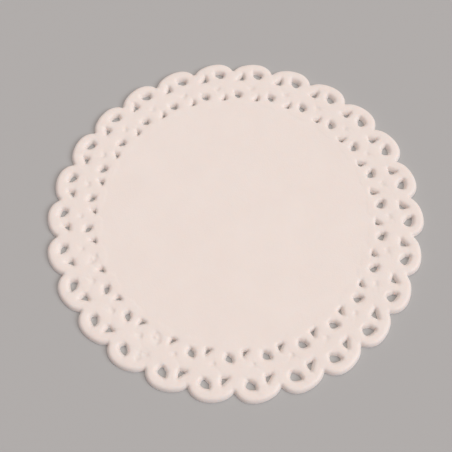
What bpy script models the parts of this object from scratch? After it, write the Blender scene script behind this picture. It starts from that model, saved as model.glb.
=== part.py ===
"""A round lace doily made in one piece, lying flat.

A plain middle carries a border of rounded cords, which cross and melt together round two rows of gaps. The
gaps go right through, and the cords' outer loops make the scalloped edge. Units are metres and +Z is up. The
origin is under the middle, on the underside.
"""

import math
import random

import bmesh
import bpy
import numpy as np
from mathutils.geometry import delaunay_2d_cdt

MM = 0.001

# Driving sizes.
REPEATS = 26  # loops round the edge
THICKNESS = 4.0 * MM  # from the underside to where the cords lie on each other
RIM_EDGE = 91.4 * MM  # radius where the plain middle's rim starts to round off
RIM_WIDTH = 2.85 * MM
RING_CROWN = 107.35 * MM  # radius of the plain ring cord between the two rows of gaps
RING_HALF_WIDTH = 4.2 * MM
FIRST_LOOP = math.radians(11.07)  # where the first outer loop stands, clockwise from +Y seen from above

# A cord's course: turn (share of one repeat, clockwise), out (mm from the band's foot), half width (mm), and
# how much of the band's swelling the cord takes there.
LOOP_CORD = (
    (0.22, 0.3, 2.7, 0.0),
    (0.322, 3.1, 3.35, 0.0),
    (0.44, 7.8, 4.2, 0.1),
    (0.565, 11.7, 4.2, 0.3),
    (0.70, 13.7, 4.05, 0.8),
    (0.83, 14.6, 4.05, 1.0),
    (0.96, 14.8, 4.1, 1.0),
    (1.08, 14.2, 4.1, 1.0),
    (1.18, 12.6, 3.95, 1.0),
    (1.24, 10.3, 3.85, 1.0),
    (1.255, 7.4, 3.9, 1.0),
    (1.215, 4.3, 3.9, 1.0),
    (1.13, 2.3, 3.45, 1.0),
    (1.03, 1.5, 2.7, 1.0),
)
LINK_CORD = (
    (0.75, 12.0, 3.5, 0.3),
    (0.769, 8.7, 3.85, 0.3),
    (0.793, 5.9, 3.85, 0.3),
    (0.835, 3.6, 4.6, 0.3),
    (0.955, 1.95, 3.8, 0.6),
    (1.03, 1.5, 2.7, 1.0),
)

# The two bands of loops: foot radius (mm), height scale, turn of the first loop, width scale, swelling.
OUTER_BAND = (108.0, 1.0, 0.0, 1.01, 0.08)
INNER_BAND = (91.1, 0.92, 0.507, 0.95, 0.09)
SWOLLEN_TURN = 20.5  # the loops are fullest here and have no swelling on the side across
INWARD = 0.8  # share of the swelling that goes to the cord's inner side

# Gaps in a band: turn and out (mm) of the middle, points round the edge.
TEARDROP = (0.02, 8.2, 12)
TRIANGLE = (0.605, 4.4, 9)
# Dimples that stay uncut, where two inner loops meet the ring cord: turn, out (mm) in the inner band.
DIMPLE = (0.33, 12.2)
# Gaps that are filled: band, gap, repeat.
FILLED = (
    (OUTER_BAND, TRIANGLE, 14),
    (INNER_BAND, TEARDROP, 14),
    (INNER_BAND, TEARDROP, 17),
)
DIMPLE_FILLING = 0.42  # added to the cover in a dimple's middle
GAP_FILLING = 0.7
FILLING_RADIUS = 2.4 * MM

# How the loops stray from an even spacing and height round the doily: loop, turn ahead, share higher.
STRAYING = (
    (0, -0.045, -0.01),
    (3, -0.005, 0.01),
    (6, 0.01, -0.03),
    (9, 0.035, 0.03),
    (12, 0.015, 0.01),
    (15, 0.02, -0.02),
    (17.5, 0.04, 0.02),
    (19.5, -0.05, -0.05),
    (22.5, -0.05, -0.03),
    (REPEATS, -0.045, -0.04),
)
# How uneven the loops are besides, each way.
UNEVEN_TURN = 0.01
UNEVEN_HEIGHT = 0.015
UNEVEN_WIDTH = 0.03
SEED = 26

# The section. A point's cover says how far it lies over the material: 0 at a wall's foot, less in a gap.
SHARPNESS = 10.0  # lower melts crossing cords together more
DEEPEST = -20.0  # no cord takes more cover away than this
PLATEAU = 0.7  # from this cover on the top is nearly level
LEVELLING = 4.0  # higher turns from wall to plateau more sharply
WALL_LEVELS = (0.0, 0.11, 0.42)  # the covers at which the mesh has a ring of points

# How finely the mesh is made.
COURSE_STEPS = 5  # pieces between two rows of a course
RAY_STEP = 0.1 * MM
GAP_REACH = 7.5 * MM
LOOK_ROUND = 2.0 * MM  # how far from a gap's rough middle its true one is looked for
LOOK_STEP = 0.3 * MM
EDGE_FROM, EDGE_TO = 131.0 * MM, 112.0 * MM
EDGE_POINTS = 14  # on each scallop
FINE_RAYS = 72
CROWN_SPACING = 2.5 * MM  # between points on the crowns
WALL_SPACING = 1.2 * MM  # from a point on a crown to the top ring of a wall
RIM_POINTS = 104
LEVEL_POINTS = 52
LEVEL_TO = 87.5 * MM  # no cord's foot lifts the plain middle within this radius
RING_POINTS = 130
CLOSE_BY = 7.0 * MM  # no cord further off than this has a say in the cover
WELD = 0.002 * MM
SAME_POINT = 1e-7
TINY = 1e-9
SHARP_ANGLE = math.radians(40)


def clear_scene():
    for obj in list(bpy.data.objects):
        bpy.data.objects.remove(obj)


def smooth_through(rows, steps):
    """Points on a smooth curve through the rows, in as many columns as the rows have."""
    rows = np.array(rows)
    ends = np.vstack([2 * rows[0] - rows[1], rows, 2 * rows[-1] - rows[-2]])
    share = (np.arange(steps) / steps)[:, None]
    pieces = []
    for before, start, end, after in zip(ends, ends[1:], ends[2:], ends[3:]):
        pieces.append(
            start
            + 0.5 * share * (end - before)
            + share**2 * (before - 2.5 * start + 2 * end - 0.5 * after)
            + 0.5 * share**3 * (after - before + 3 * (start - end))
        )
    return np.vstack(pieces + [rows[-1:]])


def strayed(turn, column):
    rows = np.array(STRAYING).T
    return np.interp(np.asarray(turn) % REPEATS, rows[0], rows[column])


def place(turn, radius):
    """X and Y of a place round the doily, from its turn in repeats and its radius."""
    angle = 2 * math.pi * (turn + strayed(turn, 1)) / REPEATS + FIRST_LOOP
    return np.stack([radius * np.sin(angle), radius * np.cos(angle)], axis=-1)


def band_place(band, turn, out_mm):
    foot, height, first = band[:3]
    return place(turn + first, (foot + height * out_mm) * MM)


class Pattern:
    """The cords' lines, the fillings between them, and how far a point lies over the material."""

    def __init__(self):
        chance = random.Random(SEED)
        self.courses = []
        for foot, height, first, width, swelling in (OUTER_BAND, INNER_BAND):
            for repeat in range(REPEATS):
                turned = first + repeat + chance.uniform(-UNEVEN_TURN, UNEVEN_TURN)
                higher = height * (1 + strayed(repeat, 2) + chance.uniform(-UNEVEN_HEIGHT, UNEVEN_HEIGHT))
                wider = width * (1 + chance.uniform(-UNEVEN_WIDTH, UNEVEN_WIDTH))
                from_fullest = 2 * math.pi * (first + repeat - SWOLLEN_TURN) / REPEATS
                swollen = swelling * (1 + math.cos(from_fullest)) / 2
                for cord in (LOOP_CORD, LINK_CORD):
                    turn, out, half, share = smooth_through(cord, COURSE_STEPS).T
                    grown = half * share * swollen
                    line = place(turn + turned, (foot + higher * out - INWARD * grown) * MM)
                    self.courses.append(np.column_stack([line, (half * wider + grown) * MM]))
        fillings = [
            (*band_place(INNER_BAND, DIMPLE[0] + repeat, DIMPLE[1]), DIMPLE_FILLING)
            for repeat in range(REPEATS)
        ]
        for band, gap, repeat in FILLED:
            fillings.append((*band_place(band, gap[0] + repeat, gap[1]), GAP_FILLING))
        self.fillings = np.array(fillings)
        self.pieces = np.vstack([np.hstack([c[:-1], c[1:]]) for c in self.courses])
        self.owner = np.repeat(np.arange(len(self.courses)), [len(c) - 1 for c in self.courses])

    def cover(self, points):
        """How far over the material each point lies: 0 at a wall's foot, less in a gap, more on the cords."""
        radius = np.hypot(*points.T)
        spreads = [
            np.abs(radius - RING_CROWN) / RING_HALF_WIDTH,
            np.maximum(radius - RIM_EDGE, 0) / RIM_WIDTH,
        ]
        pieces, owner = (
            self.near(values, self.pieces[:, :2], points) for values in (self.pieces, self.owner)
        )
        if len(pieces):
            start, half, step = pieces[:, :2], pieces[:, 2], pieces[:, 3:] - pieces[:, :3]
            off = points[:, None] - start
            share = (off * step[:, :2]).sum(-1) / (step[:, :2] ** 2).sum(-1)
            share = np.clip(share, 0, 1)
            away = np.linalg.norm(off - share[..., None] * step[:, :2], axis=-1)
            firsts = np.flatnonzero(np.diff(owner, prepend=-1))
            spreads += list(np.minimum.reduceat(away / (half + share * step[:, 2]), firsts, axis=1).T)
        covers = np.maximum(1 - np.array(spreads) ** 2, DEEPEST)
        cover = (np.logaddexp(0, SHARPNESS * covers).sum(axis=0) - math.log(2)) / SHARPNESS
        for x, y, filling in self.near(self.fillings, self.fillings[:, :2], points):
            away = np.hypot(*(points - (x, y)).T)
            cover += filling * np.exp(-((away / FILLING_RADIUS) ** 2))
        return cover

    @staticmethod
    def near(values, places, points):
        """The values whose places lie close by the points' box."""
        kept = (places > points.min(axis=0) - CLOSE_BY) & (places < points.max(axis=0) + CLOSE_BY)
        return values[kept.all(axis=1)]

    def rays(self, starts, directions, reach, levels):
        """Where the rays from the starts first come to each level of cover, a ring of points each."""
        steps = np.arange(0, reach, RAY_STEP)
        points = starts[:, None] + directions[:, None] * steps[:, None]
        covers = self.cover(points.reshape(-1, 2)).reshape(len(directions), -1)
        rings = []
        for level in levels:
            last = np.maximum((covers >= level).argmax(axis=1), 1)
            last[(covers < level).all(axis=1)] = len(steps) - 1
            rows = np.arange(len(last))
            before, after = covers[rows, last - 1], covers[rows, last]
            share = np.clip((level - before) / np.maximum(after - before, TINY), 0, 1)
            rings.append(starts + directions * ((last - 1 + share) * RAY_STEP)[:, None])
        return rings


def spaced(line, count, closed):
    """Points at even distances along a line, without an open line's last one, which starts the next line."""
    line = np.vstack([line, line[:1]]) if closed else line
    along = np.concatenate([[0], np.cumsum(np.hypot(*np.diff(line, axis=0).T))])
    at = np.arange(count) * along[-1] / count
    return np.stack([np.interp(at, along, column) for column in line.T], axis=1)


def gap_rings(pattern, about, count):
    """The rings of points round a gap, one for each wall level, from its sharpest corner on."""
    steps = np.arange(-LOOK_ROUND, LOOK_ROUND, LOOK_STEP)
    tried = about + np.stack(np.meshgrid(steps, steps), axis=-1).reshape(-1, 2)
    centre = tried[pattern.cover(tried) < 0].mean(axis=0)
    angles = 2 * math.pi * np.arange(FINE_RAYS) / FINE_RAYS
    directions = np.stack([np.cos(angles), np.sin(angles)], axis=1)
    centres = np.repeat(centre[None], FINE_RAYS, axis=0)
    fine = pattern.rays(centres, directions, GAP_REACH, WALL_LEVELS[:1])[0]
    corner = np.hypot(*(fine - centre).T).argmax()
    toward = spaced(np.roll(fine, -corner, axis=0), count, closed=True) - centre
    toward /= np.hypot(*toward.T)[:, None]
    return pattern.rays(centres[:count], toward, GAP_REACH, WALL_LEVELS)


def edge_rings(pattern):
    """The rings of points round the scalloped edge, with a point in each notch."""
    rings = [[] for _ in WALL_LEVELS]
    notches, fine = [], []
    for repeat in range(REPEATS):
        toward = -place(repeat + np.arange(FINE_RAYS) / FINE_RAYS, 1.0)
        found = pattern.rays(-EDGE_FROM * toward, toward, EDGE_FROM - EDGE_TO, WALL_LEVELS[:1])[0]
        notches.append(repeat * FINE_RAYS + np.hypot(*found.T).argmin())
        fine.append(found)
    fine = np.vstack(fine)
    for first, after in zip(notches, notches[1:] + [notches[0] + len(fine)]):
        scallop = fine[np.arange(first, after + 1) % len(fine)]
        toward = -spaced(scallop, EDGE_POINTS, closed=False)
        toward /= np.hypot(*toward.T)[:, None]
        found = pattern.rays(-EDGE_FROM * toward, toward, EDGE_FROM - EDGE_TO, WALL_LEVELS)
        for ring, points in zip(rings, found):
            ring.append(points)
    return [np.vstack(ring)[::-1] for ring in rings]


def height(pattern, points):
    """The top's height over the underside: steep by a wall's foot, then nearly level."""
    rise = np.maximum(pattern.cover(points), 0) / PLATEAU
    return THICKNESS * np.sqrt(rise / (1 + rise**LEVELLING) ** (1 / LEVELLING))


def crown_points(pattern, rings):
    """Points on the middle, the crowns and the dimples, clear of each other and of the walls' top rings."""
    kept = np.vstack(rings)
    walls = len(kept)
    rim = place(np.arange(RIM_POINTS) * REPEATS / RIM_POINTS, RIM_EDGE)
    level = place(np.arange(LEVEL_POINTS) * REPEATS / LEVEL_POINTS, LEVEL_TO)
    ring = place(np.arange(RING_POINTS) * REPEATS / RING_POINTS, RING_CROWN)
    courses = [course[:, :2] for course in pattern.courses]
    for point in np.vstack([pattern.fillings[:, :2], level, rim, ring, *courses]):
        away = np.hypot(*(kept - point).T)
        if away[:walls].min() > WALL_SPACING and away[walls:].min(initial=CROWN_SPACING) >= CROWN_SPACING:
            kept = np.vstack([kept, point])
    return kept[walls:]


def filled(rings, inner):
    """Triangles between the first ring, which is the outer edge, and the others, which are gaps."""
    points = np.vstack(rings + [inner])
    ends = np.cumsum([0] + [len(ring) for ring in rings])
    loops = [list(range(a, b)) for a, b in zip(ends, ends[1:])]
    made = delaunay_2d_cdt([tuple(p) for p in points], [], loops, 1, SAME_POINT)
    triangles = [face for face, inside in zip(made[2], made[5]) if inside == [0]]
    return np.array([tuple(p) for p in made[0]]), triangles


def sheet_mesh(pattern):
    """The doily's closed mesh: the underside, the walls ring by ring, and the top."""
    walls = [edge_rings(pattern)]
    for band in (OUTER_BAND, INNER_BAND):
        for gap in (TEARDROP, TRIANGLE):
            for repeat in range(REPEATS):
                if (band, gap, repeat) not in FILLED:
                    centre = band_place(band, gap[0] + repeat, gap[1])
                    walls.append(gap_rings(pattern, centre, gap[2]))
    mesh = bmesh.new()
    for rings in walls:
        levels = [np.zeros(len(rings[0]))] + [height(pattern, ring) for ring in rings[1:]]
        loops = [
            [mesh.verts.new((*point, z)) for point, z in zip(ring, heights)]
            for ring, heights in zip(rings, levels)
        ]
        for low, high in zip(loops, loops[1:]):
            for i in range(len(low)):
                mesh.faces.new((low[i - 1], low[i], high[i], high[i - 1]))
    feet, tops = ([rings[level] for rings in walls] for level in (0, -1))
    for rings, inner, flat in ((feet, np.empty((0, 2)), True), (tops, crown_points(pattern, tops), False)):
        points, triangles = filled(rings, inner)
        heights = np.zeros(len(points)) if flat else height(pattern, points)
        corners = [mesh.verts.new((*point, z)) for point, z in zip(points, heights)]
        for triangle in triangles:
            mesh.faces.new([corners[i] for i in triangle])
    bmesh.ops.remove_doubles(mesh, verts=mesh.verts, dist=WELD)
    bmesh.ops.recalc_face_normals(mesh, faces=mesh.faces)
    bmesh.ops.triangulate(mesh, faces=mesh.faces)
    made = bpy.data.meshes.new("doily")
    mesh.to_mesh(made)
    mesh.free()
    return made


def white_material():
    material = bpy.data.materials.new("white_lace")
    material.use_nodes = True
    shader = material.node_tree.nodes["Principled BSDF"]
    shader.inputs["Base Color"].default_value = (0.80, 0.74, 0.70, 1.0)
    shader.inputs["Roughness"].default_value = 0.55
    shader.inputs["Metallic"].default_value = 0.0
    return material


def build():
    clear_scene()
    collection = bpy.data.collections.new("lace_doily")
    bpy.context.scene.collection.children.link(collection)
    doily = bpy.data.objects.new("doily", sheet_mesh(Pattern()))
    doily.data.materials.append(white_material())
    doily.data.shade_smooth()
    doily.data.set_sharp_from_angle(angle=SHARP_ANGLE)
    collection.objects.link(doily)


build()
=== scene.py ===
"""The looks of a round lace doily that lies flat on a pale floor.

The doily is one sheet: a plain middle and a border of cords, which cross and melt together round two rows of
gaps. It is worked out again here from the CAD part's own sizes, with many more points, and gets a finely
grained, warm white finish. Units are metres and +Z is up.
"""

import math
import random

import bmesh
import bpy
import numpy as np
from mathutils import Matrix, Vector
from mathutils.geometry import delaunay_2d_cdt


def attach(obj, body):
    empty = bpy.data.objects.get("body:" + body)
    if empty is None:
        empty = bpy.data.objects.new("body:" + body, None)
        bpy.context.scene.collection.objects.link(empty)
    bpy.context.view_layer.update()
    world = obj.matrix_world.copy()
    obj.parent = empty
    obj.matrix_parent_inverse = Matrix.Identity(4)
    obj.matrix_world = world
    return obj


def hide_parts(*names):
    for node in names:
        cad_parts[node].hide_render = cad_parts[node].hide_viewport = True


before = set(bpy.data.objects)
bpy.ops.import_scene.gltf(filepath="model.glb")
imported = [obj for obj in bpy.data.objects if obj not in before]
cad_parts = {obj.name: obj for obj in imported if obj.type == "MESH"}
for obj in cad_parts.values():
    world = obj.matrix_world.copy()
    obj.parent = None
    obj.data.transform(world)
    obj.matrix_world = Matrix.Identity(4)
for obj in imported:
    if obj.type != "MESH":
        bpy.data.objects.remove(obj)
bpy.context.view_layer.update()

MM = 0.001

# The CAD part's sizes.
REPEATS = 26  # loops round the edge
THICKNESS = 4.0 * MM  # from the underside to where the cords lie on each other
RIM_EDGE = 91.4 * MM  # radius where the plain middle's rim starts to round off
RIM_WIDTH = 2.85 * MM
RING_CROWN = 107.35 * MM  # radius of the plain ring cord between the two rows of gaps
RING_HALF_WIDTH = 4.2 * MM
FIRST_LOOP = math.radians(11.07)  # where the first outer loop stands, clockwise from +Y seen from above

# A cord's course: turn (share of one repeat, clockwise), out (mm from the band's foot), half width (mm), and
# how much of the band's swelling the cord takes there.
LOOP_CORD = (
    (0.22, 0.3, 2.7, 0.0),
    (0.322, 3.1, 3.35, 0.0),
    (0.44, 7.8, 4.2, 0.1),
    (0.565, 11.7, 4.2, 0.3),
    (0.70, 13.7, 4.05, 0.8),
    (0.83, 14.6, 4.05, 1.0),
    (0.96, 14.8, 4.1, 1.0),
    (1.08, 14.2, 4.1, 1.0),
    (1.18, 12.6, 3.95, 1.0),
    (1.24, 10.3, 3.85, 1.0),
    (1.255, 7.4, 3.9, 1.0),
    (1.215, 4.3, 3.9, 1.0),
    (1.13, 2.3, 3.45, 1.0),
    (1.03, 1.5, 2.7, 1.0),
)
LINK_CORD = (
    (0.75, 12.0, 3.5, 0.3),
    (0.769, 8.7, 3.85, 0.3),
    (0.793, 5.9, 3.85, 0.3),
    (0.835, 3.6, 4.6, 0.3),
    (0.955, 1.95, 3.8, 0.6),
    (1.03, 1.5, 2.7, 1.0),
)

# The two bands of loops: foot radius (mm), height scale, turn of the first loop, width scale, swelling.
OUTER_BAND = (108.0, 1.0, 0.0, 1.01, 0.08)
INNER_BAND = (91.1, 0.92, 0.507, 0.95, 0.09)
SWOLLEN_TURN = 20.5  # the loops are fullest here and have no swelling on the side across
INWARD = 0.8  # share of the swelling that goes to the cord's inner side

# Gaps in a band: turn and out (mm) of the middle, points round the edge.
TEARDROP = (0.02, 8.2, 40)
TRIANGLE = (0.605, 4.4, 30)
# Dimples that stay uncut, where two inner loops meet the ring cord: turn, out (mm) in the inner band.
DIMPLE = (0.33, 12.2)
# Gaps that are filled: band, gap, repeat.
FILLED = (
    (OUTER_BAND, TRIANGLE, 14),
    (INNER_BAND, TEARDROP, 14),
    (INNER_BAND, TEARDROP, 17),
)
DIMPLE_FILLING = 0.42  # added to the cover in a dimple's middle
GAP_FILLING = 0.7
FILLING_RADIUS = 2.4 * MM

# How the loops stray from an even spacing and height round the doily: loop, turn ahead, share higher.
STRAYING = (
    (0, -0.045, -0.01),
    (3, -0.005, 0.01),
    (6, 0.01, -0.03),
    (9, 0.035, 0.03),
    (12, 0.015, 0.01),
    (15, 0.02, -0.02),
    (17.5, 0.04, 0.02),
    (19.5, -0.05, -0.05),
    (22.5, -0.05, -0.03),
    (REPEATS, -0.045, -0.04),
)
# How uneven the loops are besides, each way.
UNEVEN_TURN = 0.01
UNEVEN_HEIGHT = 0.015
UNEVEN_WIDTH = 0.03
SEED = 26

# The section. A point's cover says how far it lies over the material: 0 at a wall's foot, less in a gap.
SHARPNESS = 10.0  # lower melts crossing cords together more
DEEPEST = -20.0  # no cord takes more cover away than this
PLATEAU = 0.7  # from this cover on the top is nearly level
LEVELLING = 4.0  # higher turns from wall to plateau more sharply
WALL_LEVELS = (0.0, 0.012, 0.045, 0.1, 0.18, 0.28, 0.38)  # the covers at which the mesh has a ring of points

# How finely the sheet is made.
COURSE_STEPS = 5  # pieces between two rows of a course
RAY_STEP = 0.3 * MM
GAP_REACH = 7.5 * MM
LOOK_ROUND = 2.0 * MM  # how far from a gap's rough middle its true one is looked for
EDGE_FROM, EDGE_TO = 131.0 * MM, 112.0 * MM
EDGE_POINTS = 44  # on each scallop
FINE_RAYS = 72
BORDER_PITCH = 0.8 * MM  # between points on the border's top
MIDDLE_PITCH = 3.0 * MM
BORDER_FROM, MIDDLE_TO = 86.0 * MM, 85.2 * MM
BORDER_TO = 128.0 * MM
GRID_COVER = 0.42  # the top's own points start here, past the walls' rings
CLOSE_BY = 7.0 * MM  # no cord further off than this has a say in the cover
SAME_POINT = 1e-7
TINY = 1e-9
SHARP_ANGLE = math.radians(50)

# The finish: about how many mottles, grains and pores lie along a metre, and the two tones it varies between.
MOTTLING_SCALE, GRAIN_SCALE, PORE_SCALE = 38.0, 1300.0, 900.0
WARM_WHITE = (0.80, 0.735, 0.70, 1.0)
BRIGHT_WHITE = (0.865, 0.815, 0.785, 1.0)
GRAIN_DEPTH = 0.12 * MM
LIGHT_REACH = 2.0 * MM  # how far light spreads inside the material

FLOOR_GREY = (0.435, 0.445, 0.45, 1.0)
FLOOR_REACH = 15.0  # from the middle to each side, so that low views see no end of it


def smooth_through(rows, steps):
    """Points on a smooth curve through the rows, in as many columns as the rows have."""
    rows = np.array(rows)
    ends = np.vstack([2 * rows[0] - rows[1], rows, 2 * rows[-1] - rows[-2]])
    share = (np.arange(steps) / steps)[:, None]
    pieces = []
    for before, start, end, after in zip(ends, ends[1:], ends[2:], ends[3:]):
        pieces.append(
            start
            + 0.5 * share * (end - before)
            + share**2 * (before - 2.5 * start + 2 * end - 0.5 * after)
            + 0.5 * share**3 * (after - before + 3 * (start - end))
        )
    return np.vstack(pieces + [rows[-1:]])


def strayed(turn, column):
    rows = np.array(STRAYING).T
    return np.interp(np.asarray(turn) % REPEATS, rows[0], rows[column])


def place(turn, radius):
    """X and Y of a place round the doily, from its turn in repeats and its radius."""
    angle = 2 * math.pi * (turn + strayed(turn, 1)) / REPEATS + FIRST_LOOP
    return np.stack([radius * np.sin(angle), radius * np.cos(angle)], axis=-1)


def band_place(band, turn, out_mm):
    foot, height, first = band[:3]
    return place(turn + first, (foot + height * out_mm) * MM)


class Pattern:
    """The cords' lines, the fillings between them, and how far a point lies over the material."""

    def __init__(self):
        chance = random.Random(SEED)
        self.courses = []
        for foot, height, first, width, swelling in (OUTER_BAND, INNER_BAND):
            for repeat in range(REPEATS):
                turned = first + repeat + chance.uniform(-UNEVEN_TURN, UNEVEN_TURN)
                higher = height * (1 + strayed(repeat, 2) + chance.uniform(-UNEVEN_HEIGHT, UNEVEN_HEIGHT))
                wider = width * (1 + chance.uniform(-UNEVEN_WIDTH, UNEVEN_WIDTH))
                from_fullest = 2 * math.pi * (first + repeat - SWOLLEN_TURN) / REPEATS
                swollen = swelling * (1 + math.cos(from_fullest)) / 2
                for cord in (LOOP_CORD, LINK_CORD):
                    turn, out, half, share = smooth_through(cord, COURSE_STEPS).T
                    grown = half * share * swollen
                    line = place(turn + turned, (foot + higher * out - INWARD * grown) * MM)
                    self.courses.append(np.column_stack([line, (half * wider + grown) * MM]))
        fillings = [
            (*band_place(INNER_BAND, DIMPLE[0] + repeat, DIMPLE[1]), DIMPLE_FILLING)
            for repeat in range(REPEATS)
        ]
        for band, gap, repeat in FILLED:
            fillings.append((*band_place(band, gap[0] + repeat, gap[1]), GAP_FILLING))
        self.fillings = np.array(fillings)
        self.pieces = np.vstack([np.hstack([c[:-1], c[1:]]) for c in self.courses])
        self.owner = np.repeat(np.arange(len(self.courses)), [len(c) - 1 for c in self.courses])

    def cover(self, points):
        """How far over the material each point lies: 0 at a wall's foot, less in a gap, more on the cords."""
        radius = np.hypot(*points.T)
        spreads = [
            np.abs(radius - RING_CROWN) / RING_HALF_WIDTH,
            np.maximum(radius - RIM_EDGE, 0) / RIM_WIDTH,
        ]
        pieces, owner = (
            self.near(values, self.pieces[:, :2], points) for values in (self.pieces, self.owner)
        )
        if len(pieces):
            start, half, step = pieces[:, :2], pieces[:, 2], pieces[:, 3:] - pieces[:, :3]
            off = points[:, None] - start
            share = (off * step[:, :2]).sum(-1) / (step[:, :2] ** 2).sum(-1)
            share = np.clip(share, 0, 1)
            away = np.linalg.norm(off - share[..., None] * step[:, :2], axis=-1)
            firsts = np.flatnonzero(np.diff(owner, prepend=-1))
            spreads += list(np.minimum.reduceat(away / (half + share * step[:, 2]), firsts, axis=1).T)
        covers = np.maximum(1 - np.array(spreads) ** 2, DEEPEST)
        cover = (np.logaddexp(0, SHARPNESS * covers).sum(axis=0) - math.log(2)) / SHARPNESS
        for x, y, filling in self.near(self.fillings, self.fillings[:, :2], points):
            away = np.hypot(*(points - (x, y)).T)
            cover += filling * np.exp(-((away / FILLING_RADIUS) ** 2))
        return cover

    @staticmethod
    def near(values, places, points):
        """The values whose places lie close by the points' box."""
        kept = (places > points.min(axis=0) - CLOSE_BY) & (places < points.max(axis=0) + CLOSE_BY)
        return values[kept.all(axis=1)]

    def wide_cover(self, points):
        """The cover of points from all over the doily, worked out sector by sector."""
        sectors = np.floor(np.arctan2(*points.T) / math.pi * REPEATS)
        covers = np.empty(len(points))
        for sector in np.unique(sectors):
            chosen = sectors == sector
            covers[chosen] = self.cover(points[chosen])
        return covers

    def rays(self, starts, directions, reach, levels):
        """Where the rays from the starts first come to each level of cover, a ring of points each."""
        steps = np.arange(0, reach, RAY_STEP)
        points = starts[:, None] + directions[:, None] * steps[:, None]
        covers = self.cover(points.reshape(-1, 2)).reshape(len(directions), -1)
        rings = []
        for level in levels:
            last = np.maximum((covers >= level).argmax(axis=1), 1)
            last[(covers < level).all(axis=1)] = len(steps) - 1
            rows = np.arange(len(last))
            before, after = covers[rows, last - 1], covers[rows, last]
            share = np.clip((level - before) / np.maximum(after - before, TINY), 0, 1)
            rings.append(starts + directions * ((last - 1 + share) * RAY_STEP)[:, None])
        return rings


def spaced(line, count, closed):
    """Points at even distances along a line, without an open line's last one, which starts the next line."""
    line = np.vstack([line, line[:1]]) if closed else line
    along = np.concatenate([[0], np.cumsum(np.hypot(*np.diff(line, axis=0).T))])
    at = np.arange(count) * along[-1] / count
    return np.stack([np.interp(at, along, column) for column in line.T], axis=1)


def gap_rings(pattern, about, count):
    """The rings of points round a gap, one for each wall level, from its sharpest corner on."""
    steps = np.arange(-LOOK_ROUND, LOOK_ROUND, RAY_STEP)
    tried = about + np.stack(np.meshgrid(steps, steps), axis=-1).reshape(-1, 2)
    centre = tried[pattern.cover(tried) < 0].mean(axis=0)
    angles = 2 * math.pi * np.arange(FINE_RAYS) / FINE_RAYS
    directions = np.stack([np.cos(angles), np.sin(angles)], axis=1)
    centres = np.repeat(centre[None], FINE_RAYS, axis=0)
    fine = pattern.rays(centres, directions, GAP_REACH, WALL_LEVELS[:1])[0]
    corner = np.hypot(*(fine - centre).T).argmax()
    toward = spaced(np.roll(fine, -corner, axis=0), count, closed=True) - centre
    toward /= np.hypot(*toward.T)[:, None]
    return pattern.rays(centres[:count], toward, GAP_REACH, WALL_LEVELS)


def edge_rings(pattern):
    """The rings of points round the scalloped edge, with a point in each notch."""
    rings = [[] for _ in WALL_LEVELS]
    notches, fine = [], []
    for repeat in range(REPEATS):
        toward = -place(repeat + np.arange(FINE_RAYS) / FINE_RAYS, 1.0)
        found = pattern.rays(-EDGE_FROM * toward, toward, EDGE_FROM - EDGE_TO, WALL_LEVELS[:1])[0]
        notches.append(repeat * FINE_RAYS + np.hypot(*found.T).argmin())
        fine.append(found)
    fine = np.vstack(fine)
    for first, after in zip(notches, notches[1:] + [notches[0] + len(fine)]):
        scallop = fine[np.arange(first, after + 1) % len(fine)]
        toward = -spaced(scallop, EDGE_POINTS, closed=False)
        toward /= np.hypot(*toward.T)[:, None]
        found = pattern.rays(-EDGE_FROM * toward, toward, EDGE_FROM - EDGE_TO, WALL_LEVELS)
        for ring, points in zip(rings, found):
            ring.append(points)
    return [np.vstack(ring)[::-1] for ring in rings]


def height_at(cover):
    """The top's height over the underside for a cover: steep by a wall's foot, then nearly level."""
    rise = np.maximum(cover, 0) / PLATEAU
    return THICKNESS * np.sqrt(rise / (1 + rise**LEVELLING) ** (1 / LEVELLING))


def honeycomb(reach, pitch):
    """Points of an even triangular grid over the square from -reach to reach."""
    columns = np.arange(-reach, reach, pitch)
    lines = np.arange(-reach, reach, pitch * math.sqrt(0.75))
    x = columns + pitch / 2 * (np.arange(len(lines)) % 2)[:, None]
    return np.column_stack([x.ravel(), np.repeat(lines, len(columns))])


def top_points(pattern):
    """The points of the top between the walls: close together on the border, further apart on the middle."""
    border = honeycomb(BORDER_TO, BORDER_PITCH)
    radius = np.hypot(*border.T)
    border = border[(radius > BORDER_FROM) & (radius < BORDER_TO)]
    border = border[pattern.wide_cover(border) > GRID_COVER]
    middle = honeycomb(MIDDLE_TO, MIDDLE_PITCH)
    return np.vstack([border, middle[np.hypot(*middle.T) < MIDDLE_TO]])


def filled(rings, inner):
    """Triangles between the first ring, which is the outer edge, and the others, which are gaps.

    A triangle's corners are numbered as the rings' points and the inner ones follow each other."""
    points = np.vstack(rings + [inner])
    ends = np.cumsum([0] + [len(ring) for ring in rings])
    loops = [list(range(a, b)) for a, b in zip(ends, ends[1:])]
    made = delaunay_2d_cdt([tuple(p) for p in points], [], loops, 1, SAME_POINT)
    number = [sources[0] for sources in made[3]]
    return [[number[i] for i in face] for face, inside in zip(made[2], made[5]) if inside == [0]]


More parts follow.
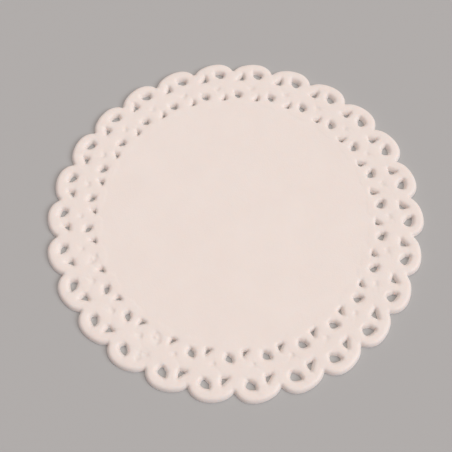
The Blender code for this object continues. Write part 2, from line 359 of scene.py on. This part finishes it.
def sheet_mesh(pattern):
    """The doily's closed mesh: the underside, the walls ring by ring, and the top."""
    walls = [edge_rings(pattern)]
    for band in (OUTER_BAND, INNER_BAND):
        for gap in (TEARDROP, TRIANGLE):
            for repeat in range(REPEATS):
                if (band, gap, repeat) not in FILLED:
                    walls.append(gap_rings(pattern, band_place(band, gap[0] + repeat, gap[1]), gap[2]))
    inner = top_points(pattern)
    levels = [np.vstack(level) for level in zip(*walls)]
    starts = np.cumsum([0] + [len(rings[0]) for rings in walls])
    count = starts[-1]
    faces = []
    for level in range(len(levels) - 1):
        for start, end in zip(starts, starts[1:]):
            for here in range(start, end):
                before = here - 1 if here > start else end - 1
                low, high = level * count, (level + 1) * count
                faces.append((low + before, low + here, high + here, high + before))
    faces += filled([rings[0] for rings in walls], np.empty((0, 2)))
    shift = (len(levels) - 1) * count
    faces += [[shift + i for i in face] for face in filled([rings[-1] for rings in walls], inner)]
    heights = [np.full(count, height_at(level)) for level in WALL_LEVELS]
    heights.append(height_at(pattern.wide_cover(inner)))
    corners = np.column_stack([np.vstack(levels + [inner]), np.concatenate(heights)])
    made = bpy.data.meshes.new("lace_doily")
    made.from_pydata([tuple(corner) for corner in corners], [], faces)
    closed = bmesh.new()
    closed.from_mesh(made)
    bmesh.ops.recalc_face_normals(closed, faces=closed.faces)
    closed.to_mesh(made)
    closed.free()
    return made


class Given:
    """What an output of a node gives. Sums and products of it add the Math nodes that work them out."""

    def __init__(self, shader, socket):
        self.shader, self.socket = shader, socket

    def joined(self, operation, other):
        return self.shader.node("ShaderNodeMath", {"operation": operation}, {0: self, 1: other})["Value"]

    def __add__(self, other):
        return self.joined("ADD", other)

    def __mul__(self, other):
        return self.joined("MULTIPLY", other)

    __radd__, __rmul__ = __add__, __mul__


class Shader:
    """A material's nodes."""

    def __init__(self, name):
        self.material = bpy.data.materials.new(name)
        self.material.use_nodes = True
        self.tree = self.material.node_tree
        self.surface = self.tree.nodes["Principled BSDF"]

    def put(self, socket, value):
        if isinstance(value, Given):
            self.tree.links.new(value.socket, socket)
        else:
            socket.default_value = value

    def node(self, kind, settings, inputs):
        """A new node; its outputs by name."""
        node = self.tree.nodes.new(kind)
        for name, value in settings.items():
            setattr(node, name, value)
        for name, value in inputs.items():
            self.put(node.inputs[name], value)
        return {output.name: Given(self, output) for output in node.outputs if output.enabled}

    def finish(self, **inputs):
        """The surface's own values, by the names of its sockets with _ for a space."""
        for name, value in inputs.items():
            self.put(self.surface.inputs[name.replace("_", " ")], value)
        return self.material


def white_lace():
    """Dense white cotton: a fine grain, and a faint warm mottling."""
    shader = Shader("white_lace")
    where = shader.node("ShaderNodeTexCoord", {}, {})["Object"]
    mottling = shader.node(
        "ShaderNodeTexNoise", {}, {"Vector": where, "Scale": MOTTLING_SCALE, "Detail": 3.0, "Roughness": 0.55}
    )["Fac"]
    grain = shader.node(
        "ShaderNodeTexNoise", {}, {"Vector": where, "Scale": GRAIN_SCALE, "Detail": 2.0, "Roughness": 0.6}
    )["Fac"]
    pores = shader.node(
        "ShaderNodeTexVoronoi", {}, {"Vector": where, "Scale": PORE_SCALE, "Randomness": 1.0}
    )["Distance"]
    relief = grain * 0.6 + pores * 0.8
    tone = shader.node(
        "ShaderNodeMix",
        {"data_type": "RGBA"},
        {"Factor": mottling * 0.75 + grain * 0.25, 6: WARM_WHITE, 7: BRIGHT_WHITE},
    )["Result"]
    bump = shader.node(
        "ShaderNodeBump", {}, {"Strength": 0.35, "Distance": GRAIN_DEPTH, "Height": relief}
    )["Normal"]
    return shader.finish(
        Base_Color=tone,
        Roughness=0.42 + 0.2 * mottling,
        Normal=bump,
        Specular_IOR_Level=0.45,
        Subsurface_Weight=0.5,
        Subsurface_Radius=(1.0, 0.85, 0.75),
        Subsurface_Scale=LIGHT_REACH,
    )


def pale_floor():
    return Shader("pale_floor").finish(Base_Color=FLOOR_GREY, Roughness=0.8, Specular_IOR_Level=0.25)


def floor():
    mesh = bpy.data.meshes.new("floor")
    corners = [(x * FLOOR_REACH, y * FLOOR_REACH, 0) for x, y in ((-1, -1), (1, -1), (1, 1), (-1, 1))]
    mesh.from_pydata(corners, [], [(0, 1, 2, 3)])
    made = bpy.data.objects.new("floor", mesh)
    made.data.materials.append(pale_floor())
    bpy.context.scene.collection.objects.link(made)


def doily():
    made = bpy.data.objects.new("lace_doily", sheet_mesh(Pattern()))
    made.data.materials.append(white_lace())
    made.data.shade_smooth()
    made.data.set_sharp_from_angle(angle=SHARP_ANGLE)
    bpy.context.scene.collection.objects.link(made)
    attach(made, "root")
    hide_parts("doily")


def camera():
    """It looks down at the doily from the -Y side, with a slight roll."""
    pitch, roll = math.radians(64.11), math.radians(2.364)
    target, distance = Vector((-0.00618, -0.00574, 0.0)), 0.5683
    forward = Vector((0, math.cos(pitch), -math.sin(pitch)))
    level_right = Vector((1, 0, 0))
    level_up = level_right.cross(forward)
    right = level_right * math.cos(roll) - level_up * math.sin(roll)
    up = level_right * math.sin(roll) + level_up * math.cos(roll)
    seen = bpy.data.cameras.new("camera")
    seen.sensor_width, seen.lens = 36.0, 67.34
    made = bpy.data.objects.new("camera", seen)
    turned = Matrix((right, up, -forward)).transposed().to_4x4()
    made.matrix_world = Matrix.Translation(target - forward * distance) @ turned
    bpy.context.scene.collection.objects.link(made)
    bpy.context.scene.camera = made


def light(name, compass, elevation, strength, colour, spread):
    """A far, soft light on the middle; compass is clockwise from +Y, and the three angles are in degrees."""
    compass, elevation = math.radians(compass), math.radians(elevation)
    level = math.cos(elevation)
    away = Vector((math.sin(compass) * level, math.cos(compass) * level, math.sin(elevation)))
    lamp = bpy.data.lights.new(name, "SUN")
    lamp.energy, lamp.color, lamp.angle = strength, colour, math.radians(spread)
    made = bpy.data.objects.new(name, lamp)
    made.location = away
    made.rotation_euler = away.to_track_quat("Z", "Y").to_euler()
    bpy.context.scene.collection.objects.link(made)


def studio():
    light("key_light", 115, 40, 1.55, (1.0, 1.0, 1.0), 34)
    light("top_light", 0, 65, 1.0, (1.0, 0.93, 0.82), 50)
    world = bpy.data.worlds.new("soft_light")
    world.use_nodes = True
    sky = world.node_tree.nodes["Background"]
    sky.inputs["Color"].default_value = (1.0, 0.86, 0.86, 1.0)
    sky.inputs["Strength"].default_value = 0.39
    bpy.context.scene.world = world
    bpy.context.scene.view_settings.view_transform = "Standard"


doily()
floor()
camera()
studio()
